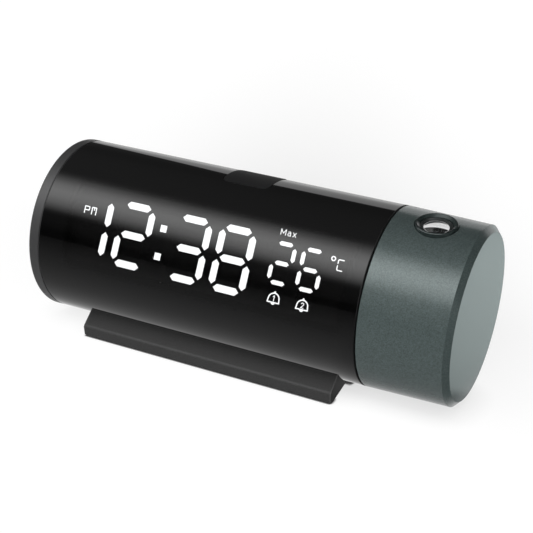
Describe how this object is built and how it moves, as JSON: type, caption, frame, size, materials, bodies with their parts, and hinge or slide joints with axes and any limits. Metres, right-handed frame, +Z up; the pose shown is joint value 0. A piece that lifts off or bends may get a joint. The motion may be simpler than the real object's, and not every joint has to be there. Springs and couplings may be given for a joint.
{
  "type": "projection alarm clock",
  "caption": "Tube-shaped projection alarm clock on a saddle foot, with a large lit digital display inside the dark tube and a turning projector head on its right end.",
  "frame": {"origin": "middle of the bounding box, on the table under the clock", "axes": "+X along the tube towards the projector head, -Y out of the front that shows the time, +Z up"},
  "size_m": [0.1748, 0.07, 0.0728],
  "materials": {
    "smoked_shell": "smoked see-through gloss",
    "end_grey": "satin",
    "inner_black": "matte",
    "display_white": "lit from behind",
    "board_green": "solder mask",
    "soft_black": "soft-touch, fine grain",
    "switch_black": "moulded",
    "panel_black": "fine grain",
    "key_grey": "satin",
    "socket_steel": "plated",
    "speaker_black": "paper cone in a steel basket",
    "cell_steel": "bright",
    "screw_steel": "zinc plated",
    "spring_steel": "bright",
    "foot_grey": "fine grain",
    "strip_rubber": "matte",
    "lead_black": "sleeved",
    "head_green": "satin metallic paint with fine flakes",
    "ring_green": "satin",
    "cell_black": "satin",
    "lens_glass": "coated",
    "slide_glass": "segment film"
  },
  "bodies": {
    "clock_body": {"display_tube": "smoked_shell", "left_end_cap": "end_grey", "chassis": "inner_black", "display_frame": "inner_black", "display_segments": "display_white", "display_board": "board_green", "main_board": "board_green", "snooze_switch": "switch_black", "rear_panel": "panel_black", "key_board": "board_green", "usb_outlet": "socket_steel", "power_inlet": "socket_steel", "speaker": "speaker_black", "cell_holder": "inner_black", "backup_cell": "cell_steel", "cell_door": "panel_black", "door_screw": "screw_steel", "foot": "foot_grey", "foot_strips": "strip_rubber", "foot_screws": "screw_steel", "hub_disc": "inner_black", "hub_screws": "screw_steel", "friction_washer": "spring_steel", "hub_clip": "spring_steel", "projector_lead": "lead_black"},
    "snooze": {"snooze_key": "soft_black"},
    "set": {"key_set": "key_grey"},
    "up": {"key_up": "key_grey"},
    "down": {"key_down": "key_grey"},
    "alarm_1": {"key_alarm_1": "key_grey"},
    "alarm_2": {"key_alarm_2": "key_grey"},
    "projector_switch": {"key_projector": "key_grey"},
    "projector_head": {"projector_shell": "head_green", "end_disc": "head_green", "bearing_plate": "inner_black", "shell_screws": "screw_steel", "optics_tube": "inner_black", "optics_screws": "screw_steel", "image_slide": "slide_glass", "condenser_lens": "lens_glass", "led_board": "board_green"},
    "focus": {"focus_ring": "ring_green"},
    "lens": {"lens_cell": "cell_black", "projection_lens": "lens_glass"}
  },
  "joints": [
    {"name": "projector_turn", "type": "hinge", "parent": "clock_body", "child": "projector_head", "pos_m": [0, 0, 0.03665], "axis": [1, 0, 0], "range_deg": [-104, 76]},
    {"name": "focus_turn", "type": "hinge", "parent": "projector_head", "child": "focus", "pos_m": [0.06925, 0, 0.03665], "axis": [0, -0.2402, 0.9707], "range_deg": [-90, 90]},
    {"name": "lens_travel", "type": "slide", "parent": "projector_head", "child": "lens", "axis": [0, -0.2402, 0.9707], "range_m": [-0.0004, 0.0004]},
    {"name": "snooze_press", "type": "slide", "parent": "clock_body", "child": "snooze", "axis": [0, 0, -1], "range_m": [0, 0.001], "stiffness_N_per_m": 600, "springref_m": -0.003},
    {"name": "set_press", "type": "slide", "parent": "clock_body", "child": "set", "axis": [0, -1, 0], "range_m": [0, 0.0006], "stiffness_N_per_m": 800, "springref_m": -0.0015},
    {"name": "up_press", "type": "slide", "parent": "clock_body", "child": "up", "axis": [0, -1, 0], "range_m": [0, 0.0006], "stiffness_N_per_m": 800, "springref_m": -0.0015},
    {"name": "down_press", "type": "slide", "parent": "clock_body", "child": "down", "axis": [0, -1, 0], "range_m": [0, 0.0006], "stiffness_N_per_m": 800, "springref_m": -0.0015},
    {"name": "alarm_1_press", "type": "slide", "parent": "clock_body", "child": "alarm_1", "axis": [0, -1, 0], "range_m": [0, 0.0006], "stiffness_N_per_m": 800, "springref_m": -0.0015},
    {"name": "alarm_2_press", "type": "slide", "parent": "clock_body", "child": "alarm_2", "axis": [0, -1, 0], "range_m": [0, 0.0006], "stiffness_N_per_m": 800, "springref_m": -0.0015},
    {"name": "projector_switch_press", "type": "slide", "parent": "clock_body", "child": "projector_switch", "axis": [0, -1, 0], "range_m": [0, 0.0006], "stiffness_N_per_m": 800, "springref_m": -0.0015}
  ],
  "couplings": [
    {"joint": "focus_turn", "follows": "lens_travel", "rad_per_m": 3926}
  ]
}
